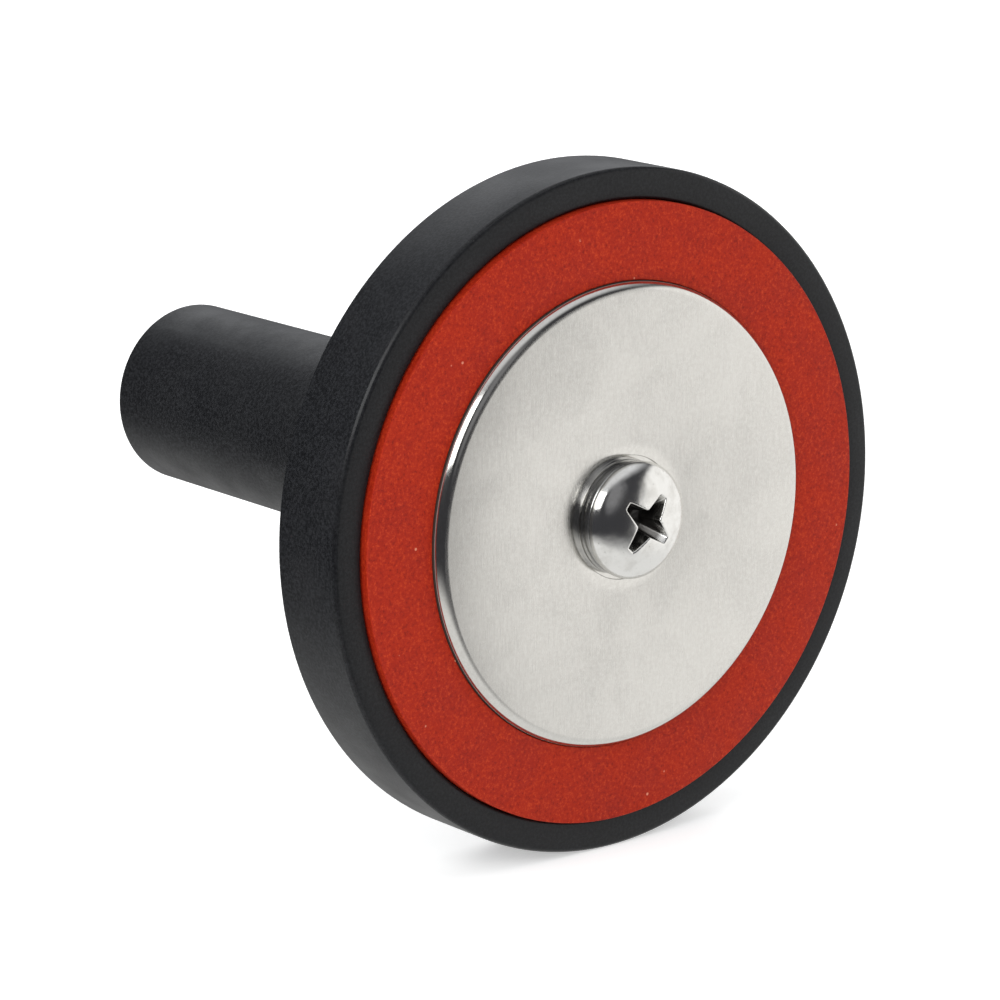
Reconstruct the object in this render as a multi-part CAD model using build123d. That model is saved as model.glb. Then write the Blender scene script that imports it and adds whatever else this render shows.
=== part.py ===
"""Welding magnet holder: a pot magnet with a live face plate, a brass cable terminal and a handle sleeve.

Millimetres. The holder's axis is the Y axis. The face plate looks along -Y and its front face is at y = 0;
the handle points along +Y. +Z is up.
"""

from build123d import *
import math
import os

# Magnet cup
CUP_RADIUS = 35.0
CUP_DEPTH = 9.45
CUP_WALL = 3.2
CUP_FLOOR = 2.8
CUP_FRONT_EDGE = 0.5
CUP_REAR_EDGE = 0.8

# Face plate
PLATE_RADIUS = 23.75
PLATE_THICKNESS = 4.0
PLATE_PROUD = 1.85
PLATE_EDGE = 1.15
SPOT_FACE_DEPTH = 0.2

# Red fibre ring
FIBRE_THICKNESS = 1.6
FIBRE_PROUD = 0.8

# Contact screw and its lock washer
SCREW_RADIUS = 3.0
SCREW_LENGTH = 16.0
SCREW_HEAD_HEIGHT = 2.4
SCREW_HEAD_SIDE = 0.2
SCREW_POINT = 0.6
RECESS_WIDTH = 6.9
RECESS_DEPTH = 3.0
RECESS_ARM = 1.7
RECESS_ANGLE = 49.0
LOCK_WASHER_THICKNESS = 1.4
LOCK_WASHER_GAP = 0.8
LOCK_WASHER_SLANT = 25.0
LOCK_WASHER_AT = 300.0

# Brass terminal stem
STEM_THREAD_RADIUS = 5.0
STEM_THREAD_SPARE = 1.0
BARREL_RADIUS = 7.5
BARREL_LENGTH = 39.0
BARREL_EDGE = 0.5
TAPPED_SPARE = 3.0
CONDUCTOR_RADIUS = 3.3
SOCKET_DEPTH = 32.0
DRILL_POINT = 118.0

# Grub screws that clamp the conductor, placed back from the socket's mouth
GRUB_RADIUS = 2.5
GRUB_SUNK = 0.1
GRUB_KEY = 2.5
GRUB_KEY_DEPTH = 2.0
GRUB_FROM_MOUTH = (10.0, 22.0)

# Clamping stack behind the cup
BUSH_WALL = 1.9
FIBRE_WASHER_THICKNESS = 1.2
BRASS_WASHER_THICKNESS = 1.0
NUT_THICKNESS = 4.0
NUT_FLATS_PER_THREAD = 1.4
NUT_CHAMFER = 0.5

# Handle sleeve
HANDLE_LENGTH = 64.6
SLEEVE_WALL = 1.6
SLEEVE_FLARE = 0.4
SLEEVE_FLARE_LENGTH = 45.0
SLEEVE_REAR_EDGE = 0.6
SLEEVE_MOUTH_EDGE = 0.8
JACKET_RADIUS = 5.5

# Clearances, each on the radius unless it says otherwise
THREAD_FIT = 0.05
SLIDING_FIT = 0.05
SCREW_HOLE_CLEARANCE = 0.2
WASHER_CLEARANCE = 0.1
SPOT_FACE_CLEARANCE = 0.4
SEAT_GAP = 0.1
MAGNET_GAP = 0.2
FIBRE_GAP = 0.03
BUSH_GAP = 0.1
NUT_CLEARANCE = 0.317
NUT_END_CLEARANCE = 1.0
BARREL_END_CLEARANCE = 1.0
CABLE_CLEARANCE = 0.25

# Stations along the axis, from the face plate back
RIM = PLATE_PROUD
CUP_BACK = RIM + CUP_DEPTH
FLOOR_FRONT = CUP_BACK - CUP_FLOOR
FIBRE_FRONT = RIM - FIBRE_PROUD
FIBRE_BACK = FIBRE_FRONT + FIBRE_THICKNESS
WASHER_FRONT = SPOT_FACE_DEPTH - LOCK_WASHER_THICKNESS
SCREW_TIP = WASHER_FRONT + SCREW_LENGTH
FIBRE_WASHER_BACK = CUP_BACK + FIBRE_WASHER_THICKNESS
BRASS_WASHER_BACK = FIBRE_WASHER_BACK + BRASS_WASHER_THICKNESS
NUT_BACK = BRASS_WASHER_BACK + NUT_THICKNESS
BARREL_FRONT = NUT_BACK + STEM_THREAD_SPARE
BARREL_BACK = BARREL_FRONT + BARREL_LENGTH
HANDLE_BACK = CUP_BACK + HANDLE_LENGTH

# Radii that follow from the driving sizes
CUP_BORE = CUP_RADIUS - CUP_WALL
FIBRE_RADIUS = CUP_BORE - SEAT_GAP
MAGNET_RADIUS = PLATE_RADIUS - MAGNET_GAP
SCREW_HEAD_RADIUS = 2 * SCREW_RADIUS
LOCK_WASHER_RADIUS = SCREW_HEAD_RADIUS - WASHER_CLEARANCE
SPOT_FACE_RADIUS = LOCK_WASHER_RADIUS + SPOT_FACE_CLEARANCE
BUSH_BORE = STEM_THREAD_RADIUS + BUSH_GAP
BUSH_RADIUS = BUSH_BORE + BUSH_WALL
NUT_FLATS = 2 * STEM_THREAD_RADIUS * NUT_FLATS_PER_THREAD
NUT_CORNER_RADIUS = NUT_FLATS / math.sqrt(3)
SOCKET_RADIUS = CONDUCTOR_RADIUS + SEAT_GAP
SLEEVE_BORE = BARREL_RADIUS + SLIDING_FIT
SLEEVE_COUNTERBORE = max(NUT_CORNER_RADIUS + NUT_CLEARANCE, SLEEVE_BORE)
HANDLE_RADIUS = SLEEVE_COUNTERBORE + SLEEVE_WALL
STACK_WASHER_RADIUS = SLEEVE_COUNTERBORE - NUT_CLEARANCE / 2
CABLE_ENTRY_RADIUS = JACKET_RADIUS + CABLE_CLEARANCE

MARGIN = 1.0  # how far a cutting tool runs past the face that it opens


def rod(radius, front, back):
    """A solid cylinder on the axis, from y = front to y = back."""
    section = Plane(origin=(0, front, 0), x_dir=(1, 0, 0), z_dir=(0, 1, 0)) * Circle(radius)
    return extrude(section, amount=back - front)


def tube(bore, radius, front, back):
    """A plain ring on the axis."""
    return rod(radius, front, back) - rod(bore, front - MARGIN, back + MARGIN)


def upright_cylinder(radius, height):
    """A solid cylinder along +Z from z = 0."""
    return Cylinder(radius, height, align=(Align.CENTER, Align.CENTER, Align.MIN))


def turned(points):
    """A solid turned about the axis from a closed outline of (radius, y) points."""
    return revolve(make_face(Polyline(*points, close=True)), axis=Axis.Y)


def round_edges(solid, radius, y, amount):
    """Rounds every circular edge of the given radius that lies at that y."""
    edges = [
        edge
        for edge in solid.edges().filter_by(GeomType.CIRCLE)
        if abs(edge.radius - radius) < 1e-6 and abs(edge.arc_center.Y - y) < 1e-6
    ]
    return fillet(edges, amount)


def magnet_cup():
    """Steel cup: a rim, a floor and the hole for the insulating bush."""
    cup = rod(CUP_RADIUS, RIM, CUP_BACK) - rod(CUP_BORE, RIM - MARGIN, FLOOR_FRONT)
    cup -= rod(BUSH_RADIUS + BUSH_GAP, FLOOR_FRONT - MARGIN, CUP_BACK + MARGIN)
    cup = round_edges(cup, CUP_RADIUS, RIM, CUP_FRONT_EDGE)
    return round_edges(cup, CUP_RADIUS, CUP_BACK, CUP_REAR_EDGE)


def ring_magnet():
    """Ferrite ring between the cup's floor and the face plate."""
    return tube(BUSH_RADIUS + BUSH_GAP, MAGNET_RADIUS, PLATE_THICKNESS, FLOOR_FRONT)


def magnet_spacer():
    """Moulded ring that fills the cup round the magnet and the plate's edge."""
    return tube(PLATE_RADIUS + SEAT_GAP, FIBRE_RADIUS, FIBRE_BACK, FLOOR_FRONT)


def insulating_ring():
    """Flat fibre ring between the face plate and the cup's rim."""
    return tube(PLATE_RADIUS + FIBRE_GAP, FIBRE_RADIUS, FIBRE_FRONT, FIBRE_BACK)


def contact_plate():
    """Round face plate with a rounded front edge, a screw hole and a spot face for the washer."""
    plate = round_edges(rod(PLATE_RADIUS, 0, PLATE_THICKNESS), PLATE_RADIUS, 0, PLATE_EDGE)
    plate -= rod(SCREW_RADIUS + SCREW_HOLE_CLEARANCE, -MARGIN, PLATE_THICKNESS + MARGIN)
    return plate - rod(SPOT_FACE_RADIUS, -MARGIN, SPOT_FACE_DEPTH)


def lock_washer():
    """Flat-squeezed spring washer with one slanted cut."""
    bore = SCREW_RADIUS + WASHER_CLEARANCE
    ring = tube(bore, LOCK_WASHER_RADIUS, WASHER_FRONT, SPOT_FACE_DEPTH)
    middle = (WASHER_FRONT + SPOT_FACE_DEPTH) / 2
    slit = Box(2 * LOCK_WASHER_RADIUS, 4 * LOCK_WASHER_THICKNESS, LOCK_WASHER_GAP)
    slit = Pos(LOCK_WASHER_RADIUS, middle, 0) * Rot(LOCK_WASHER_SLANT, 0, 0) * slit
    return ring - Rot(0, -LOCK_WASHER_AT, 0) * slit


def recess_arm(angle):
    """One tapered blade of the cross recess, standing through the head's top."""
    top = WASHER_FRONT - SCREW_HEAD_HEIGHT - MARGIN
    bottom = WASHER_FRONT - SCREW_HEAD_HEIGHT + RECESS_DEPTH
    reach = RECESS_WIDTH / 2
    floor_reach = RECESS_WIDTH / 5
    outline = [(-reach, top), (reach, top), (floor_reach, bottom), (-floor_reach, bottom)]
    blade = extrude(make_face(Polyline(*outline, close=True)), amount=RECESS_ARM / 2, both=True)
    return Rot(0, -angle, 0) * blade


def contact_screw():
    """Pan-head screw with a cross recess and a plain shank at the thread's size."""
    side = WASHER_FRONT - SCREW_HEAD_SIDE
    top = WASHER_FRONT - SCREW_HEAD_HEIGHT
    outline = Line((0, top), (0, WASHER_FRONT))
    outline += Line((0, WASHER_FRONT), (SCREW_HEAD_RADIUS, WASHER_FRONT))
    outline += Line((SCREW_HEAD_RADIUS, WASHER_FRONT), (SCREW_HEAD_RADIUS, side))
    outline += EllipticalCenterArc((0, side), SCREW_HEAD_RADIUS, side - top, start_angle=270, arc_size=90)
    screw = revolve(make_face(outline), axis=Axis.Y)
    shank = SCREW_RADIUS - THREAD_FIT
    screw += turned(
        [
            (0, side),
            (shank, side),
            (shank, SCREW_TIP - SCREW_POINT),
            (shank - SCREW_POINT, SCREW_TIP),
            (0, SCREW_TIP),
        ]
    )
    return screw - recess_arm(RECESS_ANGLE) - recess_arm(RECESS_ANGLE + 90)


def insulating_bush():
    """Plain insulating tube through the magnet and the cup's floor."""
    return tube(BUSH_BORE, BUSH_RADIUS, PLATE_THICKNESS, CUP_BACK)


def insulating_washer():
    """Fibre washer behind the cup's floor."""
    return tube(BUSH_BORE, STACK_WASHER_RADIUS, CUP_BACK, FIBRE_WASHER_BACK)


def clamp_washer():
    """Brass washer between the nut and the fibre washer."""
    return tube(BUSH_BORE, STACK_WASHER_RADIUS, FIBRE_WASHER_BACK, BRASS_WASHER_BACK)


def stem_nut():
    """Thin hexagon nut, chamfered on its corners."""
    front = Plane(origin=(0, BRASS_WASHER_BACK, 0), x_dir=(1, 0, 0), z_dir=(0, 1, 0))
    nut = extrude(front * RegularPolygon(NUT_CORNER_RADIUS, 6), amount=NUT_THICKNESS)
    corner = NUT_CORNER_RADIUS
    cut = NUT_CHAMFER
    nut &= turned(
        [
            (0, BRASS_WASHER_BACK),
            (corner - cut, BRASS_WASHER_BACK),
            (corner, BRASS_WASHER_BACK + cut),
            (corner, NUT_BACK - cut),
            (corner - cut, NUT_BACK),
            (0, NUT_BACK),
        ]
    )
    return nut - rod(STEM_THREAD_RADIUS + THREAD_FIT, BRASS_WASHER_BACK - MARGIN, NUT_BACK + MARGIN)


def grub_stations():
    """Where the grub screws' centres lie along the axis."""
    return [BARREL_BACK - back for back in GRUB_FROM_MOUTH]


def terminal_stem():
    """Brass stem: threaded nose, barrel, cable socket, and tapped holes for its screws."""
    stem = rod(STEM_THREAD_RADIUS, PLATE_THICKNESS, BARREL_FRONT + MARGIN)
    barrel = rod(BARREL_RADIUS, BARREL_FRONT, BARREL_BACK)
    barrel = round_edges(barrel, BARREL_RADIUS, BARREL_FRONT, BARREL_EDGE)
    stem += round_edges(barrel, BARREL_RADIUS, BARREL_BACK, BARREL_EDGE)
    tapped_end = SCREW_TIP + TAPPED_SPARE
    stem -= rod(SCREW_RADIUS, PLATE_THICKNESS - MARGIN, tapped_end)
    socket_end = BARREL_BACK - SOCKET_DEPTH
    point = SOCKET_RADIUS / math.tan(math.radians(DRILL_POINT / 2))
    stem -= turned(
        [
            (0, socket_end - point),
            (SOCKET_RADIUS, socket_end),
            (SOCKET_RADIUS, BARREL_BACK + MARGIN),
            (0, BARREL_BACK + MARGIN),
        ]
    )
    for station in grub_stations():
        stem -= Pos(0, station, 0) * upright_cylinder(GRUB_RADIUS, BARREL_RADIUS + MARGIN)
    return stem


def clamp_screw(station):
    """Grub screw with a hexagon socket: its tip is level with the cable socket's top."""
    top = math.sqrt(BARREL_RADIUS**2 - GRUB_RADIUS**2) - GRUB_SUNK
    length = top - SOCKET_RADIUS
    radius = GRUB_RADIUS - THREAD_FIT
    screw = upright_cylinder(radius, length)
    key = extrude(RegularPolygon(GRUB_KEY / math.sqrt(3), 6), amount=GRUB_KEY_DEPTH + MARGIN)
    screw -= Pos(0, 0, length - GRUB_KEY_DEPTH) * key
    return Pos(0, station, SOCKET_RADIUS) * screw


def handle_sleeve():
    """Insulating sleeve: slips over the barrel and nut, and lets the cable in at its far end."""
    flare_end = CUP_BACK + SLEEVE_FLARE_LENGTH
    foot = HANDLE_RADIUS + SLEEVE_FLARE
    outline = Line((0, CUP_BACK), (foot, CUP_BACK))
    outline += TangentArc((HANDLE_RADIUS, flare_end), (foot, CUP_BACK), tangent=(0, -1))
    outline += Line((HANDLE_RADIUS, flare_end), (HANDLE_RADIUS, HANDLE_BACK))
    outline += Line((HANDLE_RADIUS, HANDLE_BACK), (0, HANDLE_BACK))
    outline += Line((0, HANDLE_BACK), (0, CUP_BACK))
    sleeve = revolve(make_face(outline), axis=Axis.Y)
    sleeve -= rod(SLEEVE_COUNTERBORE, CUP_BACK - MARGIN, NUT_BACK + NUT_END_CLEARANCE)
    sleeve -= rod(SLEEVE_BORE, CUP_BACK, BARREL_BACK + BARREL_END_CLEARANCE)
    sleeve -= rod(CABLE_ENTRY_RADIUS, CUP_BACK, HANDLE_BACK + MARGIN)
    sleeve = round_edges(sleeve, HANDLE_RADIUS, HANDLE_BACK, SLEEVE_REAR_EDGE)
    return round_edges(sleeve, CABLE_ENTRY_RADIUS, HANDLE_BACK, SLEEVE_MOUTH_EDGE)


def sub_parts():
    """Every sub-part by its node's name."""
    rear, front = grub_stations()
    return {
        "magnet_cup": magnet_cup(),
        "ring_magnet": ring_magnet(),
        "magnet_spacer": magnet_spacer(),
        "insulating_ring": insulating_ring(),
        "contact_plate": contact_plate(),
        "lock_washer": lock_washer(),
        "contact_screw": contact_screw(),
        "insulating_bush": insulating_bush(),
        "insulating_washer": insulating_washer(),
        "clamp_washer": clamp_washer(),
        "stem_nut": stem_nut(),
        "terminal_stem": terminal_stem(),
        "clamp_screw_front": clamp_screw(front),
        "clamp_screw_rear": clamp_screw(rear),
        "handle_sleeve": handle_sleeve(),
    }


os.makedirs("parts", exist_ok=True)
for name, shape in sub_parts().items():
    export_step(shape, f"parts/{name}.step")
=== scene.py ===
"""Looks of the welding magnet holder: turned, threaded and cut pieces and their materials.

The holder's axis is the Y axis. The face plate looks along -Y and the handle along +Y; lengths are in metres.
"""
import bmesh
import bpy
import math
from mathutils import Matrix, Vector


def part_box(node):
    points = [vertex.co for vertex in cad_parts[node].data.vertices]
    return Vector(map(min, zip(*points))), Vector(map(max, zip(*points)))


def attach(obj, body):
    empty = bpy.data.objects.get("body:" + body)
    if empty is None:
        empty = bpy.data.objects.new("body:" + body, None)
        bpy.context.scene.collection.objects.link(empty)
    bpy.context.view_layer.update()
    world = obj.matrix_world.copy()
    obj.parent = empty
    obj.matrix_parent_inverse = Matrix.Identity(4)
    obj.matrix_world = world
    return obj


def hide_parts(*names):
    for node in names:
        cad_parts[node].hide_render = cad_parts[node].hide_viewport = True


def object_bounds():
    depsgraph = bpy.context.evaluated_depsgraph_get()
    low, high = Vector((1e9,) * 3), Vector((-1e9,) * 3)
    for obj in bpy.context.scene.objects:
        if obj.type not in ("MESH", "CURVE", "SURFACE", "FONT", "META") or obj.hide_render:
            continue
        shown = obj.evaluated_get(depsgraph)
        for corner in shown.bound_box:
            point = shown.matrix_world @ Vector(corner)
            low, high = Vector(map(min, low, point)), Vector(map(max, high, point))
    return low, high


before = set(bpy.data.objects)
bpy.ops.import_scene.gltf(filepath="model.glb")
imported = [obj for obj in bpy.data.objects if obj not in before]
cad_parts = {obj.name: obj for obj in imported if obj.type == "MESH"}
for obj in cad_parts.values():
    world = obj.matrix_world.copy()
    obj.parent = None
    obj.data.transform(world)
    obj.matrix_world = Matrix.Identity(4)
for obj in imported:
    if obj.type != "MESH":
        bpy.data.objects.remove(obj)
cad_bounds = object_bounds()

MM = 0.001
STEPS = 192  # facets round a large turned piece
FINE_STEPS = 128  # facets round a small one
ARC_STEPS = 6  # facets in a rounded corner

# Edge roundings
CUP_FRONT_EDGE = 0.5 * MM
CUP_REAR_EDGE = 0.8 * MM
PLATE_EDGE = 1.15 * MM
FIBRE_EDGE = 0.12 * MM
SLEEVE_FRONT_EDGE = 0.35 * MM
SLEEVE_REAR_EDGE = 0.6 * MM
SLEEVE_MOUTH_EDGE = 0.8 * MM
BARREL_EDGE = 0.5 * MM
HOLE_EDGE = 0.12 * MM
NUT_EDGE = 0.1 * MM
WASHER_EDGE = 0.2 * MM
SMALL_EDGE = 0.15 * MM

# Free space round the hidden pieces
THREAD_FIT = 0.05 * MM
BUSH_FIT = 0.1 * MM
SLIDING_FIT = 0.05 * MM
SPOT_FACE_SPARE = 0.4 * MM
END_SPARE = 1.0 * MM  # left free beyond the nut's and the barrel's ends
OVERCUT = 1.0 * MM  # how far a cutting tool reaches past the piece


# ---------------------------------------------------------------- places from the frame


def front(node):
    """The node's nearest y to the workpiece."""
    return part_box(node)[0].y


def back(node):
    """The node's furthest y from the workpiece."""
    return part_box(node)[1].y


def radius(node):
    """Half of the node's width, which is the radius of a turned one."""
    low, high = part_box(node)
    return (high.x - low.x) / 2


def bore(node, y, tolerance=0.3 * MM):
    """The smallest radius that the node has near the station y."""
    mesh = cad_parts[node].data
    near = [v.co for v in mesh.vertices if abs(v.co.y - y) < tolerance]
    return min(math.hypot(co.x, co.z) for co in near)


# ---------------------------------------------------------------- outlines and meshes


def rounded(corners):
    """A closed outline of (radius, y) points, each corner (radius, y, rounding) made an arc of that size."""
    points = []
    count = len(corners)
    for index, (r, y, size) in enumerate(corners):
        here = Vector((r, y))
        if size == 0:
            points.append(here)
            continue
        before = (Vector(corners[index - 1][:2]) - here).normalized()
        after = (Vector(corners[(index + 1) % count][:2]) - here).normalized()
        half = before.angle(after) / 2
        start = here + before * size / math.tan(half)
        end = here + after * size / math.tan(half)
        centre = here + (before + after).normalized() * size / math.sin(half)
        first = start - centre
        turn = first.angle_signed(end - centre)
        for step in range(ARC_STEPS + 1):
            spoke = first.copy()
            spoke.rotate(Matrix.Rotation(-turn * step / ARC_STEPS, 2))
            points.append(centre + spoke)
    return points


def new_object(name, bm, sharp=35):
    """A mesh object from a bmesh, smooth but for edges sharper than so many degrees."""
    bmesh.ops.remove_doubles(bm, verts=bm.verts, dist=1e-7)
    bmesh.ops.recalc_face_normals(bm, faces=bm.faces)
    mesh = bpy.data.meshes.new(name)
    bm.to_mesh(mesh)
    bm.free()
    mesh.shade_smooth()
    mesh.set_sharp_from_angle(angle=math.radians(sharp))
    obj = bpy.data.objects.new(name, mesh)
    bpy.context.scene.collection.objects.link(obj)
    return obj


def turned(name, outline, steps=STEPS, sharp=35):
    """A closed piece turned about the Y axis from a closed outline of (radius, y) points."""
    bm = bmesh.new()
    rings = []
    for step in range(steps):
        angle = 2 * math.pi * step / steps
        c, s = math.cos(angle), math.sin(angle)
        rings.append([bm.verts.new((r * c, y, r * s)) for r, y in outline])
    for step in range(steps):
        here, there = rings[step], rings[(step + 1) % steps]
        for index in range(len(outline)):
            onward = (index + 1) % len(outline)
            if outline[index][0] == 0 and outline[onward][0] == 0:
                continue
            corners = [here[index], here[onward], there[onward], there[index]]
            bm.faces.new(corners)
    return new_object(name, bm, sharp)


def ring_outline(inner, outer, y_front, y_back, edge=SMALL_EDGE):
    """The outline of a plain ring with its four corners rounded."""
    return rounded(
        [
            (inner, y_front, edge),
            (outer, y_front, edge),
            (outer, y_back, edge),
            (inner, y_back, edge),
        ]
    )


def thread_height(turn):
    """How much of the thread's depth is left at a fraction of one pitch: flat crest, flanks, flat root."""
    return min(max(abs(2 * (turn % 1) - 1) * 1.6 - 0.3, 0), 1)


def threaded_rod(name, crest, depth, pitch, y_front, y_back, lead_in, steps=96, rows_per_turn=8):
    """A closed rod with a right-hand thread whose rows of points follow the helix."""
    bm = bmesh.new()
    turns = math.ceil((y_back - y_front) / pitch) + 2
    columns = []
    for step in range(steps + 1):
        angle = 2 * math.pi * step / steps
        column = []
        for row in range(turns * rows_per_turn):
            y = y_front + (row / rows_per_turn - step / steps) * pitch
            inside = min(max(y, y_front), y_back)
            cut = depth * (1 - thread_height((inside - y_front) / pitch + step / steps))
            cut = max(cut, depth - (y_back - inside) / lead_in * depth)
            r = crest - cut
            column.append(bm.verts.new((r * math.cos(angle), inside, r * math.sin(angle))))
        columns.append(column)
    for here, there in zip(columns, columns[1:]):
        for row in range(turns * rows_per_turn - 1):
            bm.faces.new([here[row], here[row + 1], there[row + 1], there[row]])
    bmesh.ops.remove_doubles(bm, verts=bm.verts, dist=2e-6)
    bmesh.ops.dissolve_degenerate(bm, edges=bm.edges, dist=1e-6)
    bmesh.ops.holes_fill(bm, edges=[e for e in bm.edges if e.is_boundary], sides=0)
    return new_object(name, bm, 25)


def applied(obj):
    """The object with its modifiers made part of its mesh."""
    graph = bpy.context.evaluated_depsgraph_get()
    mesh = bpy.data.meshes.new_from_object(obj.evaluated_get(graph))
    old = obj.data
    obj.modifiers.clear()
    obj.data = mesh
    bpy.data.meshes.remove(old)
    return obj


def combine(obj, tool, operation):
    """Cuts the tool out of the object, joins it to it or keeps what they share, and drops the tool."""
    modifier = obj.modifiers.new("combine", "BOOLEAN")
    modifier.operation = operation
    modifier.solver = "EXACT"
    modifier.object = tool
    applied(obj)
    bpy.data.objects.remove(tool)
    obj.data.shade_smooth()
    obj.data.set_sharp_from_angle(angle=math.radians(35))
    return obj


def cleaned(obj):
    """Drops the doubled points and the slivers that cutting leaves."""
    bm = bmesh.new()
    bm.from_mesh(obj.data)
    bmesh.ops.remove_doubles(bm, verts=bm.verts, dist=3e-6)
    bmesh.ops.dissolve_degenerate(bm, edges=bm.edges, dist=3e-6)
    bm.to_mesh(obj.data)
    bm.free()
    return obj


def softened(obj, width, segments=2, angle=35):
    """Rounds the object's sharp edges a little."""
    modifier = obj.modifiers.new("edges", "BEVEL")
    modifier.width = width
    modifier.segments = segments
    modifier.limit_method = "ANGLE"
    modifier.angle_limit = math.radians(angle)
    return cleaned(applied(cleaned(obj)))


def joined(obj, others):
    """One object from several closed ones."""
    bm = bmesh.new()
    for part in [obj, *others]:
        bm.from_mesh(part.data)
    name = obj.name
    for part in [obj, *others]:
        bpy.data.objects.remove(part)
    return new_object(name, bm, 30)


def prism(name, corners, y_front, y_back):
    """A closed prism along Y from (x, z) corners."""
    bm = bmesh.new()
    near = [bm.verts.new((x, y_front, z)) for x, z in corners]
    far = [bm.verts.new((x, y_back, z)) for x, z in corners]
    bm.faces.new(near)
    bm.faces.new(list(reversed(far)))
    for index in range(len(corners)):
        onward = (index + 1) % len(corners)
        bm.faces.new([near[index], far[index], far[onward], near[onward]])
    return new_object(name, bm)


def hexagon(corner):
    """The six (x, z) corners of a hexagon of that corner radius."""
    return [(corner * math.cos(math.radians(60 * k)), corner * math.sin(math.radians(60 * k))) for k in range(6)]


# ---------------------------------------------------------------- materials


class Look:
    """A procedural material under construction: its shader and short ways to add nodes. Lengths are in mm."""

    def __init__(self, name, **settings):
        self.material = bpy.data.materials.new(name)
        self.material.use_nodes = True
        self.tree = self.material.node_tree
        self.shader = self.tree.nodes["Principled BSDF"]
        for socket, value in settings.items():
            self.shader.inputs[socket.replace("_", " ")].default_value = value
        place = self.tree.nodes.new("ShaderNodeTexCoord").outputs["Object"]
        self.place = self.vector("SCALE", place, scale=1000)
        split = self.tree.nodes.new("ShaderNodeSeparateXYZ")
        self.tree.links.new(self.place, split.inputs[0])
        self.along = split.outputs["Y"]
        flat = self.vector("MULTIPLY", self.place, (1, 0, 1))
        self.radius = self.vector("LENGTH", flat, output="Value")

    def put(self, socket, value):
        """Links a socket, or sets it to a plain value."""
        if isinstance(value, bpy.types.NodeSocket):
            self.tree.links.new(value, socket)
        else:
            socket.default_value = value

    def vector(self, operation, a, b=None, scale=None, output="Vector"):
        node = self.tree.nodes.new("ShaderNodeVectorMath")
        node.operation = operation
        self.put(node.inputs[0], a)
        if b is not None:
            self.put(node.inputs[1], b)
        if scale is not None:
            self.put(node.inputs["Scale"], scale)
        return node.outputs[output]

    def sum(self, operation, *values):
        node = self.tree.nodes.new("ShaderNodeMath")
        node.operation = operation
        for socket, value in zip(node.inputs, values):
            self.put(socket, value)
        return node.outputs[0]

    def noise(self, per_mm, detail=3, roughness=0.5, stretch=(1, 1, 1), distortion=0):
        node = self.tree.nodes.new("ShaderNodeTexNoise")
        self.put(node.inputs["Vector"], self.vector("MULTIPLY", self.place, stretch))
        node.inputs["Scale"].default_value = per_mm
        node.inputs["Detail"].default_value = detail
        node.inputs["Roughness"].default_value = roughness
        node.inputs["Distortion"].default_value = distortion
        return node.outputs["Fac"]

    def cells(self, per_mm):
        node = self.tree.nodes.new("ShaderNodeTexVoronoi")
        self.put(node.inputs["Vector"], self.place)
        node.inputs["Scale"].default_value = per_mm
        return node.outputs["Distance"]

    def between(self, value, low, high, to_low=0.0, to_high=1.0):
        """The value's place from low to high, smoothed, as a number from to_low to to_high."""
        node = self.tree.nodes.new("ShaderNodeMapRange")
        node.interpolation_type = "SMOOTHSTEP"
        for socket, setting in zip(node.inputs, (value, low, high, to_low, to_high)):
            self.put(socket, setting)
        return node.outputs[0]

    def blend(self, amount, a, b):
        """Colour a where amount is 0, b where it is 1."""
        node = self.tree.nodes.new("ShaderNodeMix")
        node.data_type = "RGBA"
        colours = [s for s in node.inputs if s.type == "RGBA"]
        self.put(node.inputs["Factor"], amount)
        for socket, value in zip(colours, (a, b)):
            self.put(socket, value if isinstance(value, bpy.types.NodeSocket) else (*value, 1))
        return next(s for s in node.outputs if s.type == "RGBA")

    def bump(self, height, depth_mm, strength=1.0, before=None):
        """Adds relief of that depth, on top of an earlier one."""
        node = self.tree.nodes.new("ShaderNodeBump")
        self.put(node.inputs["Height"], height)
        node.inputs["Distance"].default_value = depth_mm * MM
        node.inputs["Strength"].default_value = strength
        if before is not None:
            self.put(node.inputs["Normal"], before)
        self.put(self.shader.inputs["Normal"], node.outputs["Normal"])
        return node.outputs["Normal"]

    def finish(self, colour=None, roughness=None, metallic=None):
        for socket, value in (("Base Color", colour), ("Roughness", roughness), ("Metallic", metallic)):
            if value is not None:
                self.put(self.shader.inputs[socket], value)
        return self.material


def coated_steel():
    """Satin black coating with a fine grain; the rim's front face is painted darker as shade, its edge smooth
    and rubbed thin.
    """
    look = Look("coated_steel", Specular_IOR_Level=0.25)
    grain = look.noise(3.2, 5, 0.75)
    cloud = look.noise(0.12, 3, 0.55)
    colour = look.blend(look.between(grain, 0.4, 0.62), (0.006, 0.0064, 0.0075), (0.020, 0.021, 0.0235))
    colour = look.blend(look.between(cloud, 0.45, 0.75, 0, 0.35), colour, (0.022, 0.022, 0.024))
    rim = look.between(look.radius, 34.55, 34.95)
    face = look.between(look.along, 2.5, 1.95)
    nicks = look.between(look.noise(0.9, 6, 0.65), 0.66, 0.72)
    edge = look.sum("MULTIPLY", rim, face)
    worn = look.sum("MULTIPLY", edge, nicks)
    # painted shade: the rim's front face is darkened halfway towards near black
    colour = look.blend(look.sum("MULTIPLY", face, 0.5), colour, (0.006, 0.0062, 0.007))
    colour = look.blend(look.sum("MULTIPLY", worn, 0.5), colour, (0.16, 0.16, 0.155))
    roughness = look.between(cloud, 0.3, 0.7, 0.36, 0.46)
    roughness = look.sum("SUBTRACT", roughness, look.sum("MULTIPLY", edge, 0.18))
    relief = look.bump(look.noise(3.2, 3, 0.55), 0.02, 0.35)
    look.bump(grain, 0.01, 0.5, relief)
    return look.finish(colour, roughness)


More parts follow.
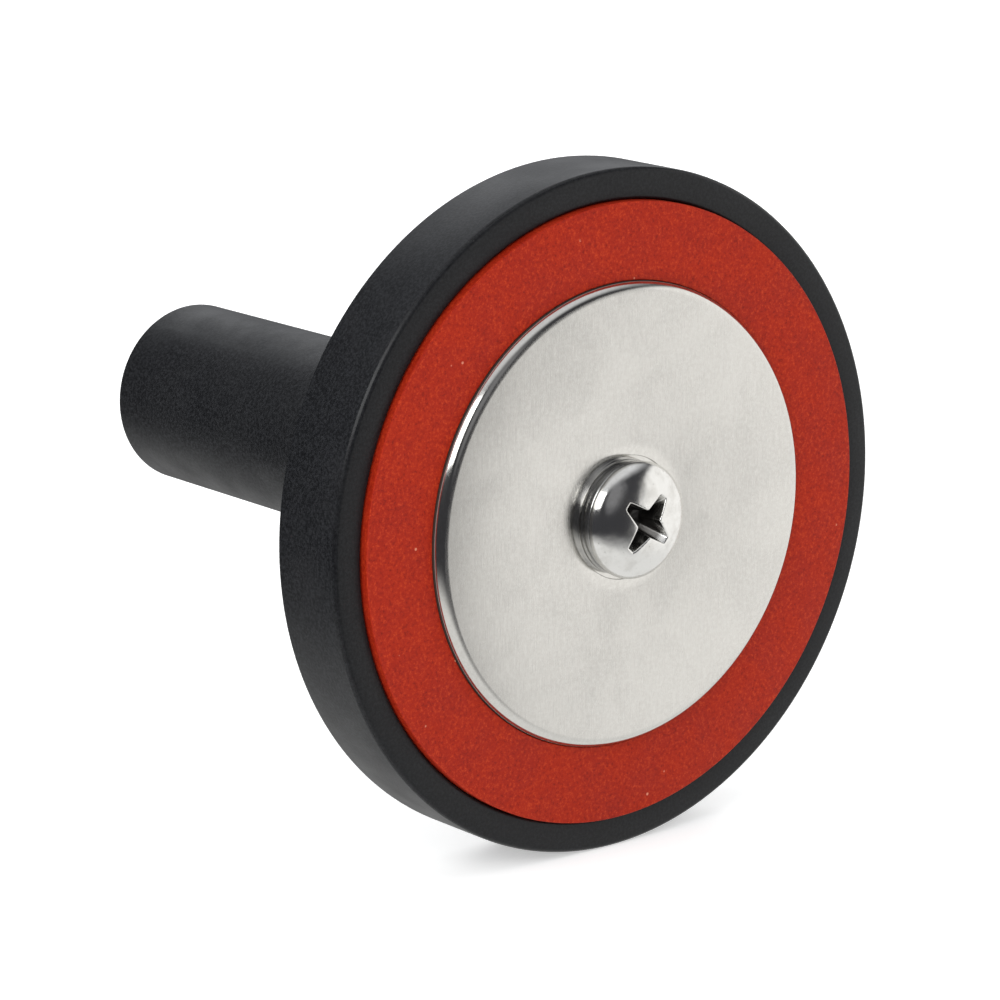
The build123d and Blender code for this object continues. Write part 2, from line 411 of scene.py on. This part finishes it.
def handle_black():
    """Moulded black sleeve: fine eroded grain, light scuffs along its length."""
    look = Look("handle_black", Specular_IOR_Level=0.3)
    grain = look.noise(3.0, 5, 0.75)
    cloud = look.noise(0.15, 3, 0.5)
    scuff = look.between(look.noise(0.5, 5, 0.6, (1, 0.18, 1)), 0.58, 0.75, 0, 0.4)
    colour = look.blend(look.between(grain, 0.4, 0.62), (0.006, 0.0064, 0.0076), (0.021, 0.022, 0.0245))
    colour = look.blend(scuff, colour, (0.030, 0.031, 0.033))
    roughness = look.between(cloud, 0.3, 0.7, 0.40, 0.52)
    relief = look.bump(look.noise(2.6, 3, 0.5), 0.02, 0.4)
    look.bump(grain, 0.012, 0.5, relief)
    return look.finish(colour, roughness)


def red_fibre():
    """Pressed red fibre: mottled, with fine dark and light flecks."""
    look = Look("red_fibre", Specular_IOR_Level=0.15)
    mottle = look.noise(0.22, 4, 0.6)
    fleck = look.noise(3.2, 5, 0.75)
    colour = look.blend(look.between(mottle, 0.3, 0.7), (0.32, 0.014, 0.0035), (0.36, 0.019, 0.0045))
    colour = look.blend(look.between(fleck, 0.50, 0.66, 0, 0.7), colour, (0.52, 0.048, 0.010))
    colour = look.blend(look.between(fleck, 0.47, 0.34, 0, 0.7), colour, (0.17, 0.008, 0.003))
    nib = look.between(look.cells(0.55), 0.10, 0.06)
    rare = look.between(look.noise(0.35, 2, 0.5), 0.60, 0.66)
    colour = look.blend(look.sum("MULTIPLY", look.sum("MULTIPLY", nib, rare), 0.7), colour, (0.75, 0.32, 0.20))
    roughness = look.between(mottle, 0.3, 0.7, 0.50, 0.64)
    relief = look.bump(fleck, 0.02, 0.45)
    look.bump(look.noise(0.8, 3, 0.5), 0.03, 0.25, relief)
    return look.finish(colour, roughness)


def nickel_plate():
    """Satin nickel: hairline scratches, faint smudges, a brighter edge and hub, and painted shade low on its
    side.
    """
    look = Look("nickel_plate", Specular_IOR_Level=0.1)
    smudge = look.noise(0.10, 5, 0.6, distortion=0.6)
    hair = look.noise(1.2, 6, 0.7, (9, 1, 0.35))
    cross = look.noise(1.0, 6, 0.7, (0.5, 1, 8))
    colour = look.blend(look.between(smudge, 0.35, 0.7), (0.645, 0.63, 0.60), (0.615, 0.60, 0.572))
    speck = look.noise(2.2, 5, 0.75)
    colour = look.blend(look.between(speck, 0.4, 0.62), colour, (0.68, 0.67, 0.64))
    # painted shade: the side wall from 0.72 mm behind the face is made dark, dull and not metallic
    side_shade = look.between(look.along, 0.72, 0.88)
    colour = look.blend(side_shade, colour, (0.05, 0.035, 0.03))
    metallic = look.between(side_shade, 0, 1, 1, 0)
    roughness = look.between(smudge, 0.35, 0.75, 0.24, 0.30)
    roughness = look.sum("ADD", roughness, look.between(hair, 0.35, 0.7, -0.04, 0.05))
    satin = look.sum("MULTIPLY", look.between(look.along, 0.15, 0.03), look.between(look.radius, 6.5, 8.0))
    roughness = look.sum("MULTIPLY", roughness, look.between(satin, 0, 1, 0.45, 1))
    roughness = look.sum("MAXIMUM", roughness, side_shade)
    relief = look.bump(hair, 0.004, 0.25)
    look.bump(cross, 0.004, 0.15, relief)
    return look.finish(colour, roughness, metallic)


def polished_steel():
    """Tumbled, polished screw: soft dents, a few darker specks, and a recess made duller and painted dark as
    shade.
    """
    look = Look("polished_steel", Metallic=1.0)
    tone = look.noise(0.5, 4, 0.6)
    colour = look.blend(look.between(tone, 0.4, 0.7), (0.78, 0.775, 0.755), (0.68, 0.67, 0.645))
    speck = look.between(look.noise(2.4, 3, 0.6), 0.66, 0.72)
    colour = look.blend(look.sum("MULTIPLY", speck, 0.5), colour, (0.30, 0.29, 0.27))
    in_head = look.sum("MULTIPLY", look.between(look.radius, 3.9, 3.6), look.between(look.along, -1.1, -1.3))
    in_recess = look.sum("MAXIMUM", in_head, look.between(look.radius, 2.2, 1.9))
    # painted shade deep in the cross recess, which is also made duller
    recess_shade = look.sum("MULTIPLY", look.between(look.along, -3.1, -2.3), in_recess)
    colour = look.blend(look.sum("MULTIPLY", recess_shade, 0.85), colour, (0.05, 0.046, 0.042))
    roughness = look.between(tone, 0.35, 0.7, 0.12, 0.20)
    roughness = look.sum("ADD", roughness, look.sum("MULTIPLY", recess_shade, 0.2))
    look.bump(look.noise(0.45, 2, 0.5), 0.10, 0.35)
    return look.finish(colour, roughness)


def zinc_steel():
    """Bright zinc plate, a little cloudy."""
    look = Look("zinc_steel", Metallic=1.0)
    cloud = look.noise(0.7, 4, 0.6)
    colour = look.blend(look.between(cloud, 0.35, 0.7), (0.66, 0.66, 0.65), (0.52, 0.525, 0.53))
    roughness = look.between(cloud, 0.3, 0.7, 0.14, 0.26)
    look.bump(look.noise(3.0, 3, 0.6), 0.01, 0.3)
    return look.finish(colour, roughness)


def brass():
    """Turned brass: fine tool lines round the axis, dulled in patches."""
    look = Look("brass", Metallic=1.0)
    patch = look.noise(0.16, 5, 0.6, distortion=0.4)
    lines = look.noise(1.0, 2, 0.5, (0.02, 3, 0.02))
    colour = look.blend(look.between(patch, 0.35, 0.7), (0.80, 0.58, 0.26), (0.52, 0.33, 0.13))
    roughness = look.between(patch, 0.3, 0.75, 0.22, 0.40)
    relief = look.bump(lines, 0.01, 0.35)
    look.bump(look.noise(1.5, 3, 0.5), 0.01, 0.2, relief)
    return look.finish(colour, roughness)


def black_steel():
    """Black-oxide steel with an oily sheen."""
    look = Look("black_steel", Metallic=0.8)
    cloud = look.noise(1.2, 4, 0.6)
    colour = look.blend(look.between(cloud, 0.35, 0.7), (0.035, 0.034, 0.036), (0.075, 0.072, 0.070))
    roughness = look.between(cloud, 0.3, 0.7, 0.30, 0.45)
    look.bump(look.noise(4.0, 3, 0.6), 0.01, 0.3)
    return look.finish(colour, roughness)


def ferrite():
    """Ground ferrite: dark, granular, with small chips."""
    look = Look("ferrite", Specular_IOR_Level=0.6)
    grain = look.noise(4.0, 5, 0.7)
    colour = look.blend(look.between(grain, 0.35, 0.7), (0.055, 0.053, 0.056), (0.12, 0.115, 0.12))
    roughness = look.between(grain, 0.3, 0.7, 0.38, 0.6)
    look.bump(grain, 0.03, 0.5)
    return look.finish(colour, roughness)


def black_moulding():
    """Plain moulded black plastic."""
    look = Look("black_moulding", Specular_IOR_Level=0.45)
    grain = look.noise(2.5, 4, 0.6)
    colour = look.blend(look.between(grain, 0.35, 0.7), (0.018, 0.018, 0.019), (0.035, 0.035, 0.036))
    look.bump(grain, 0.02, 0.4)
    return look.finish(colour, look.between(grain, 0.3, 0.7, 0.45, 0.6))


LOOKS = {
    make.__name__: make()
    for make in (
        coated_steel,
        handle_black,
        red_fibre,
        nickel_plate,
        polished_steel,
        zinc_steel,
        brass,
        black_steel,
        ferrite,
        black_moulding,
    )
}


def place(obj, node, body, slot):
    """The piece stands for the CAD node, rides on the body and wears the slot's material."""
    obj.data.materials.clear()
    obj.data.materials.append(LOOKS[slot])
    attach(obj, body)
    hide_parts(node)


# ---------------------------------------------------------------- magnet head


def make_cup():
    node = "magnet_cup"
    rim, rear, outer = front(node), back(node), radius(node)
    inner = bore(node, rim)
    floor = back("ring_magnet")
    hole = bore(node, rear)
    outline = rounded(
        [
            (hole, floor, SMALL_EDGE),
            (inner, floor, SMALL_EDGE),
            (inner, rim, 2 * SMALL_EDGE),
            (outer, rim, CUP_FRONT_EDGE),
            (outer, rear, CUP_REAR_EDGE),
            (hole, rear, SMALL_EDGE),
        ]
    )
    place(turned("cup", outline), node, "magnet_head", "coated_steel")


def make_fibre_ring():
    node = "insulating_ring"
    outline = ring_outline(bore(node, front(node)), radius(node), front(node), back(node), FIBRE_EDGE)
    place(turned("fibre_ring", outline), node, "magnet_head", "red_fibre")


def make_face_plate():
    node = "contact_plate"
    y_front, y_back, outer = front(node), back(node), radius(node)
    hole = bore(node, y_back)
    spot = radius("lock_washer") + SPOT_FACE_SPARE
    spot_depth = back("lock_washer")
    outline = rounded(
        [
            (hole, spot_depth, 0),
            (spot, spot_depth, 0),
            (spot, y_front, SMALL_EDGE / 2),
            (outer, y_front, PLATE_EDGE),
            (outer, y_back, SMALL_EDGE),
            (hole, y_back, SMALL_EDGE),
        ]
    )
    place(turned("face_plate", outline), node, "magnet_head", "nickel_plate")


# ---------------------------------------------------------------- contact screw

SCREW_PITCH = 1.0 * MM
SCREW_THREAD_DEPTH = 0.61 * MM
HEAD_SIDE = 0.2 * MM
HEAD_HEIGHT = 2.4 * MM
DOME_STEPS = 24
NECK_LENGTH = 2.0 * MM  # plain neck behind the seat, in which the threaded rod begins
ROD_START = 1.2 * MM  # behind the seat
RECESS_ANGLE = math.radians(49)
RECESS_DEPTH = 2.9 * MM
# the recess at its mouth and its floor: the reach of its wings, half their width there, the corner between them
RECESS_MOUTH = (3.55 * MM, 0.42 * MM, 1.02 * MM)
RECESS_FLOOR = (1.3 * MM, 0.3 * MM, 0.6 * MM)
VOXEL = 0.05 * MM
RELAX_ROUNDS = 20


def driver_tip(top, mouth, floor):
    """The shape that a cross driver's tip leaves: four tapered wings, through the head's top."""

    def wings(size, y):
        reach, half, corner = size
        ring = []
        for quarter in range(4):
            for x, z in ((reach, -half), (reach, half), (corner, corner)):
                spot = Vector((x, y, z))
                spot.rotate(Matrix.Rotation(-RECESS_ANGLE - quarter * math.pi / 2, 3, "Y"))
                ring.append(spot)
        return ring

    grow = (mouth - top) / (floor - mouth)
    wide = [m + (m - f) * grow for m, f in zip(RECESS_MOUTH, RECESS_FLOOR)]
    bm = bmesh.new()
    ends = ((wide, top), (RECESS_FLOOR, floor))
    rings = [[bm.verts.new(spot) for spot in wings(size, y)] for size, y in ends]
    point = bm.verts.new((0, floor + RECESS_FLOOR[0] / 2, 0))
    bm.faces.new(rings[0])
    count = len(rings[0])
    for k in range(count):
        onward = (k + 1) % count
        bm.faces.new([rings[0][k], rings[1][k], rings[1][onward], rings[0][onward]])
        bm.faces.new([rings[1][k], point, rings[1][onward]])
    return new_object("driver_tip", bm)


def melted(obj, voxel, rounds):
    """The object remeshed in small even faces and relaxed, which rounds every edge as tumbling does."""
    remesh = obj.modifiers.new("remesh", "REMESH")
    remesh.mode = "VOXEL"
    remesh.voxel_size = voxel
    remesh.use_smooth_shade = True
    smooth = obj.modifiers.new("smooth", "SMOOTH")
    smooth.factor = 0.5
    smooth.iterations = rounds
    applied(obj)
    obj.data.shade_smooth()
    return obj


def make_contact_screw():
    node = "contact_screw"
    seat = front("lock_washer")
    top = seat - HEAD_HEIGHT
    side = seat - HEAD_SIDE
    head = radius(node)
    crest = bore("terminal_stem", front("terminal_stem")) - THREAD_FIT
    root = crest - SCREW_THREAD_DEPTH
    dome = []
    for step in range(DOME_STEPS + 1):
        angle = math.pi / 2 * step / DOME_STEPS
        dome.append((head * math.sin(angle), side - (side - top) * math.cos(angle)))
    neck_end = seat + NECK_LENGTH
    outline = [*dome, (head, seat), (root, seat), (root, neck_end), (0, neck_end)]
    screw = turned("screw", outline, FINE_STEPS)
    combine(screw, driver_tip(top - OVERCUT, top, top + RECESS_DEPTH), "DIFFERENCE")
    melted(screw, VOXEL, RELAX_ROUNDS)
    rod_start = seat + ROD_START
    rod = threaded_rod("rod", crest, SCREW_THREAD_DEPTH, SCREW_PITCH, rod_start, back(node), SCREW_PITCH)
    place(joined(screw, [rod]), node, "contact_screw", "polished_steel")


WASHER_GAP = math.radians(8)
WASHER_SLANT = math.radians(6)  # how far each face's cut is turned from the middle
WASHER_CUT_AT = math.radians(300)


def make_lock_washer():
    """A split spring washer: a squared bar bent round, cut at a slant."""
    node = "lock_washer"
    y_front, y_back, outer = front(node), back(node), radius(node)
    inner = bore(node, y_front)
    section = ring_outline(inner, outer, y_front, y_back, WASHER_EDGE)
    middle, half = (y_front + y_back) / 2, (y_back - y_front) / 2
    bm = bmesh.new()
    columns = []
    for step in range(FINE_STEPS + 1):
        share = step / FINE_STEPS
        column = []
        for r, y in section:
            lean = WASHER_SLANT * (y - middle) / half
            angle = WASHER_CUT_AT + WASHER_GAP / 2 + lean + (2 * math.pi - WASHER_GAP) * share
            column.append(bm.verts.new((r * math.cos(angle), y, r * math.sin(angle))))
        columns.append(column)
    for here, there in zip(columns, columns[1:]):
        for k in range(len(section)):
            onward = (k + 1) % len(section)
            bm.faces.new([here[k], here[onward], there[onward], there[k]])
    bm.faces.new(columns[0])
    bm.faces.new(list(reversed(columns[-1])))
    place(new_object("spring_washer", bm), node, "screw_travel", "zinc_steel")


# ---------------------------------------------------------------- stem and stack

STEM_PITCH = 1.0 * MM
STEM_THREAD_DEPTH = 0.6 * MM
STEM_LEAD_IN = 0.01 * MM
STEM_OVERLAP = 0.5 * MM  # how far the barrel reaches over its thread's end
SOCKET_DEPTH = 32 * MM
HALF_DRILL_POINT = math.radians(59)
NUT_CHAMFER = 0.5 * MM
GRUB_RADIUS = 2.5 * MM
GRUB_PITCH = 0.8 * MM
GRUB_THREAD_DEPTH = 0.45 * MM
GRUB_LEAD_IN = 0.5 * MM
GRUB_KEY = 2.5 * MM  # across the flats
GRUB_KEY_DEPTH = 2.0 * MM
QUARTER_TURN = math.pi / 2


def make_stem():
    node = "terminal_stem"
    y_front, y_back, outer = front(node), back(node), radius(node)
    barrel_front = back("stem_nut") + END_SPARE
    nose = bore("insulating_bush", front("insulating_bush")) - BUSH_FIT
    socket = bore(node, y_back)
    socket_end = y_back - SOCKET_DEPTH
    point = socket / math.tan(HALF_DRILL_POINT)
    root = nose - STEM_THREAD_DEPTH
    outline = rounded(
        [
            (0, socket_end - point, 0),
            (socket, socket_end, 0),
            (socket, y_back, 2 * SMALL_EDGE),
            (outer, y_back, BARREL_EDGE),
            (outer, barrel_front, BARREL_EDGE),
            (root, barrel_front, 0),
            (root, barrel_front - STEM_OVERLAP, 0),
            (0, barrel_front - STEM_OVERLAP, 0),
        ]
    )
    barrel = turned("stem", outline, FINE_STEPS)
    for screw in ("clamp_screw_front", "clamp_screw_rear"):
        low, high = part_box(screw)
        reach = outer + OVERCUT
        drill = turned("drill", [(0, 0), (GRUB_RADIUS, 0), (GRUB_RADIUS, reach), (0, reach)], 48)
        spot = Matrix.Translation(((low.x + high.x) / 2, (low.y + high.y) / 2, 0))
        drill.data.transform(spot @ Matrix.Rotation(QUARTER_TURN, 4, "X"))
        combine(barrel, drill, "DIFFERENCE")
    softened(barrel, HOLE_EDGE, 2, 40)
    rod = threaded_rod("rod", nose, STEM_THREAD_DEPTH, STEM_PITCH, y_front, barrel_front, STEM_LEAD_IN)
    place(joined(barrel, [rod]), node, "magnet_head", "brass")


def make_nut():
    node = "stem_nut"
    y_front, y_back, corner = front(node), back(node), radius(node)
    nut = prism("nut", hexagon(corner * 1.001), y_front, y_back)
    blank = turned(
        "blank",
        [
            (0, y_front),
            (corner - 2 * NUT_CHAMFER, y_front),
            (corner, y_front + NUT_CHAMFER),
            (corner, y_back - NUT_CHAMFER),
            (corner - 2 * NUT_CHAMFER, y_back),
            (0, y_back),
        ],
    )
    combine(nut, blank, "INTERSECT")
    hole = bore(node, y_front)
    start, end = y_front - OVERCUT, y_back + OVERCUT
    drill = turned("drill", [(0, start), (hole, start), (hole, end), (0, end)], 96)
    combine(nut, drill, "DIFFERENCE")
    place(softened(nut, NUT_EDGE, 2, 25), node, "magnet_head", "brass")


def make_stack():
    """The bush and the two washers on the stem."""
    for name, node, slot in (
        ("bush", "insulating_bush", "black_moulding"),
        ("fibre_washer", "insulating_washer", "red_fibre"),
        ("brass_washer", "clamp_washer", "brass"),
    ):
        outline = ring_outline(bore(node, front(node)), radius(node), front(node), back(node))
        place(turned(name, outline, FINE_STEPS), node, "magnet_head", slot)


def make_grub_screws():
    for node in ("clamp_screw_front", "clamp_screw_rear"):
        low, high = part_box(node)
        outer = (high.x - low.x) / 2
        length = high.z - low.z
        rod = threaded_rod("rod", outer, GRUB_THREAD_DEPTH, GRUB_PITCH, -length, 0, GRUB_LEAD_IN, 72)
        key = prism("key", hexagon(GRUB_KEY / math.sqrt(3)), -length - OVERCUT, -length + GRUB_KEY_DEPTH)
        combine(rod, key, "DIFFERENCE")
        rod.name = node.replace("clamp", "grub")
        spot = Matrix.Translation((0, (low.y + high.y) / 2, low.z))
        rod.data.transform(spot @ Matrix.Rotation(-QUARTER_TURN, 4, "X"))
        place(rod, node, node, "black_steel")


SLEEVE_RADIUS = 10.0 * MM  # behind the flare
FLARE_LENGTH = 45 * MM
FLARE_STEPS = 12


def make_sleeve():
    node = "handle_sleeve"
    y_front, y_back, foot = front(node), back(node), radius(node)
    counterbore = bore(node, y_front)
    counterbore_end = back("stem_nut") + END_SPARE
    inner = radius("terminal_stem") + SLIDING_FIT
    inner_end = back("terminal_stem") + END_SPARE
    mouth = bore(node, y_back - 2 * MM, 3 * MM)
    outline = [(counterbore, y_front, SMALL_EDGE), (foot, y_front, SLEEVE_FRONT_EDGE)]
    for step in range(1, FLARE_STEPS + 1):
        share = step / FLARE_STEPS
        flared = SLEEVE_RADIUS + (foot - SLEEVE_RADIUS) * (1 - share) ** 2
        outline.append((flared, y_front + FLARE_LENGTH * share, 0))
    outline += [
        (SLEEVE_RADIUS, y_back, SLEEVE_REAR_EDGE),
        (mouth, y_back, SLEEVE_MOUTH_EDGE),
        (mouth, inner_end, 0),
        (inner, inner_end, 0),
        (inner, counterbore_end, 0),
        (counterbore, counterbore_end, 0),
    ]
    place(turned("sleeve", rounded(outline)), node, "handle_sleeve", "handle_black")


make_cup()
make_fibre_ring()
make_face_plate()
make_contact_screw()
make_lock_washer()
make_stem()
make_nut()
make_stack()
make_grub_screws()
make_sleeve()

for node, slot in (("ring_magnet", "ferrite"), ("magnet_spacer", "black_moulding")):
    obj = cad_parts[node]
    obj.data.materials.clear()
    obj.data.materials.append(LOOKS[slot])


# ---------------------------------------------------------------- floor, light and camera

VIEW_AZIMUTH = math.radians(-38.94)
VIEW_ELEVATION = math.radians(13.85)
VIEW_DISTANCE = 420 * MM
VIEW_ANCHOR = 0.25 * MM  # how far behind the rim's plane the point lies that the camera's place is measured from
VIEW_SHIFT = (-11.3 * MM, 1.34 * MM)  # the camera's place to the right of and above the line through that point
LENS = 150.85
SENSOR_WIDTH = 36
FLOOR_REACH = 6.0
FLOOR_GLOW = 0.45

# name, place, size, power in watts, whether reflections show it; all point at the origin
LIGHTS = (
    ("left_window", (-0.47, -0.09, 0.33), (0.7, 0.3), 2.2, True),
    ("front_fill", (-0.35, -0.85, 0.45), (0.5, 0.5), 2.5, False),
    ("back_fill", (0.45, 0.85, 0.55), (0.5, 0.5), 5.0, False),
)

# The room round the holder: its dark walls, and its bright regions. Each region has its axis, the cosines where
# it begins and where it is full, and its colour. A later one lies over an earlier one.
WALLS = (0.05, 0.05, 0.055)
REGIONS = (
    ((0.95, -0.26, -0.17), 0.66, 0.78, (1.15, 1.14, 1.12)),
    ((-0.80, 0.05, 0.55), 0.92, 0.99, (0.55, 0.56, 0.58)),
    ((-0.10, -0.92, 0.38), 0.91, 0.99, (0.24, 0.24, 0.25)),
    ((0.50, 0.60, 0.60), 0.80, 0.96, (1.1, 1.12, 1.15)),
    ((0.0, 0.0, 1.0), 0.55, 0.9, (0.80, 0.81, 0.83)),
    ((0.0, 0.0, -1.0), 0.32, 0.62, (0.90, 0.90, 0.89)),
)


def make_floor():
    bm = bmesh.new()
    z = cad_bounds[0].z
    corners = ((-1, -1), (1, -1), (1, 1), (-1, 1))
    bm.faces.new([bm.verts.new((x * FLOOR_REACH, y * FLOOR_REACH, z)) for x, y in corners])
    floor = new_object("floor", bm)
    look = Look("floor_white", Roughness=0.9, Specular_IOR_Level=0.1)
    tone = look.noise(0.02, 3, 0.5)
    colour = look.blend(look.between(tone, 0.3, 0.7), (0.86, 0.86, 0.855), (0.88, 0.88, 0.875))
    floor.data.materials.append(look.finish(colour))
    look.put(look.shader.inputs["Emission Color"], (1, 1, 1, 1))
    look.put(look.shader.inputs["Emission Strength"], FLOOR_GLOW)
    floor.visible_glossy = False


def make_light(name, place, size, power, glossy):
    data = bpy.data.lights.new(name, "AREA")
    data.shape = "RECTANGLE"
    data.size, data.size_y = size
    data.energy = power
    light = bpy.data.objects.new(name, data)
    light.location = place
    light.rotation_euler = Vector(place).to_track_quat("Z", "Y").to_euler()
    light.visible_glossy = glossy
    bpy.context.scene.collection.objects.link(light)


def make_world():
    """White where the camera looks past the holder; for light and reflections, a room that is bright above and
    to the right, and dark behind the camera."""
    world = bpy.data.worlds.new("studio")
    world.use_nodes = True
    bpy.context.scene.world = world
    tree = world.node_tree
    tree.nodes.clear()
    new, link = tree.nodes.new, tree.links.new
    direction = new("ShaderNodeTexCoord").outputs["Generated"]

    def lobe(axis, low, high):
        dot = new("ShaderNodeVectorMath")
        dot.operation = "DOT_PRODUCT"
        link(direction, dot.inputs[0])
        dot.inputs[1].default_value = Vector(axis).normalized()
        ramp = new("ShaderNodeMapRange")
        ramp.interpolation_type = "SMOOTHSTEP"
        link(dot.outputs["Value"], ramp.inputs[0])
        ramp.inputs[1].default_value = low
        ramp.inputs[2].default_value = high
        return ramp.outputs[0]

    def mix(amount, a, b):
        node = new("ShaderNodeMix")
        node.data_type = "RGBA"
        link(amount, node.inputs["Factor"])
        colours = [s for s in node.inputs if s.type == "RGBA"]
        for socket, value in zip(colours, (a, b)):
            if isinstance(value, bpy.types.NodeSocket):
                link(value, socket)
            else:
                socket.default_value = (*value, 1)
        return next(s for s in node.outputs if s.type == "RGBA")

    room = WALLS
    for axis, low, high, colour in REGIONS:
        room = mix(lobe(axis, low, high), room, colour)
    seen = mix(new("ShaderNodeLightPath").outputs["Is Camera Ray"], room, (1.0, 1.0, 1.0))
    shader = new("ShaderNodeBackground")
    link(seen, shader.inputs["Color"])
    shader.inputs["Strength"].default_value = 1.0
    output = new("ShaderNodeOutputWorld")
    link(shader.outputs[0], output.inputs["Surface"])


def make_camera():
    right = Vector((math.cos(VIEW_AZIMUTH), math.sin(VIEW_AZIMUTH), 0))
    back_way = Vector(
        (
            math.sin(VIEW_AZIMUTH) * math.cos(VIEW_ELEVATION),
            -math.cos(VIEW_AZIMUTH) * math.cos(VIEW_ELEVATION),
            math.sin(VIEW_ELEVATION),
        )
    )
    up = back_way.cross(right)
    data = bpy.data.cameras.new("camera")
    data.lens = LENS
    data.sensor_width = SENSOR_WIDTH
    data.clip_start, data.clip_end = 0.01, 50
    camera = bpy.data.objects.new("camera", data)
    anchor = Vector((0, front("magnet_cup") + VIEW_ANCHOR, 0))
    camera.location = anchor + back_way * VIEW_DISTANCE + right * VIEW_SHIFT[0] + up * VIEW_SHIFT[1]
    camera.rotation_mode = "QUATERNION"
    camera.rotation_quaternion = back_way.to_track_quat("Z", "Y")
    bpy.context.scene.collection.objects.link(camera)
    bpy.context.scene.camera = camera


make_floor()
for light in LIGHTS:
    make_light(*light)
make_world()
make_camera()
bpy.context.scene.view_settings.view_transform = "Standard"
